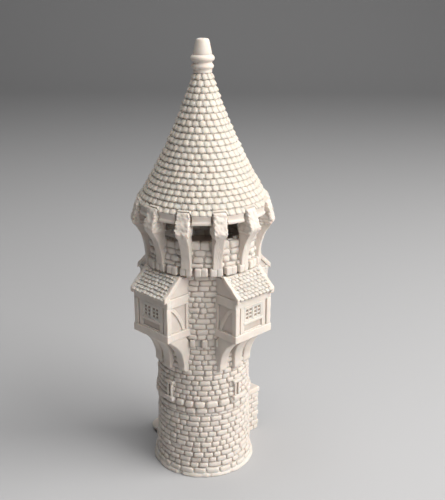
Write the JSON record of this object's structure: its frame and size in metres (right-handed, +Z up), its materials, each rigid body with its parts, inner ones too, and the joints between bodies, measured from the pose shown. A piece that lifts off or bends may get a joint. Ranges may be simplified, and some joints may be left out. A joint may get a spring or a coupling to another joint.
{
  "type": "miniature tower model",
  "caption": "Miniature round stone tower with a lift-off tiled cone roof, timber struts under the eaves, bracketed oriels and stacking storeys.",
  "frame": {"origin": "centre of the round foot on the plane it stands on", "axes": "+Z up the tower's axis to the finial; -Y is the side between the two front oriels; the porch is towards +X +Y"},
  "size_m": [0.0486, 0.0486, 0.15],
  "materials": {
    "resin_stone": "matte cast resin",
    "resin_timber": "matte cast resin",
    "resin_tiles": "matte cast resin",
    "resin_smooth": "matte cast resin"
  },
  "bodies": {
    "ground_storey": {"ground_wall": "resin_stone", "foot_course": "resin_stone", "ground_floor": "resin_smooth", "porch_walls": "resin_stone", "porch_door": "resin_timber", "porch_cap": "resin_smooth", "postern_surround": "resin_stone", "postern_door": "resin_timber", "postern_step": "resin_stone"},
    "oriel_storey": {"lower_wall": "resin_stone", "string_course": "resin_stone", "oriel_floor": "resin_smooth", "upper_wall": "resin_stone", "dentil_course": "resin_stone", "slit_surround_1": "resin_stone", "slit_surround_2": "resin_stone", "slit_surround_3": "resin_stone", "slit_surround_4": "resin_stone", "oriel_south_west_walls": "resin_stone", "oriel_south_west_frame": "resin_timber", "oriel_south_west_window": "resin_timber", "oriel_south_west_roof": "resin_tiles", "oriel_south_west_brackets": "resin_stone", "oriel_south_east_walls": "resin_stone", "oriel_south_east_frame": "resin_timber", "oriel_south_east_window": "resin_timber", "oriel_south_east_roof": "resin_tiles", "oriel_south_east_brackets": "resin_stone", "oriel_north_east_walls": "resin_stone", "oriel_north_east_frame": "resin_timber", "oriel_north_east_window": "resin_timber", "oriel_north_east_roof": "resin_tiles", "oriel_north_east_brackets": "resin_stone", "oriel_north_west_walls": "resin_stone", "oriel_north_west_frame": "resin_timber", "oriel_north_west_window": "resin_timber", "oriel_north_west_roof": "resin_tiles", "oriel_north_west_brackets": "resin_stone"},
    "gallery": {"gallery_floor": "resin_smooth", "gallery_corbels": "resin_stone", "gallery_wall": "resin_stone", "wall_plate": "resin_smooth", "strut_01": "resin_timber", "strut_02": "resin_timber", "strut_03": "resin_timber", "strut_04": "resin_timber", "strut_05": "resin_timber", "strut_06": "resin_timber", "strut_07": "resin_timber", "strut_08": "resin_timber", "strut_09": "resin_timber", "strut_10": "resin_timber", "strut_11": "resin_timber", "strut_12": "resin_timber"},
    "roof": {"roof_shell": "resin_smooth", "roof_tiles": "resin_tiles", "eaves_ring": "resin_smooth", "finial_collars": "resin_smooth", "finial_plug": "resin_smooth"}
  },
  "joints": [
    {"name": "oriel_storey_lift", "type": "slide", "parent": "ground_storey", "child": "oriel_storey", "axis": [0, 0, 1], "range_m": [0, 0.03]},
    {"name": "gallery_lift", "type": "slide", "parent": "oriel_storey", "child": "gallery", "axis": [0, 0, 1], "range_m": [0, 0.03]},
    {"name": "roof_lift", "type": "slide", "parent": "gallery", "child": "roof", "axis": [0, 0, 1], "range_m": [0, 0.04]}
  ]
}
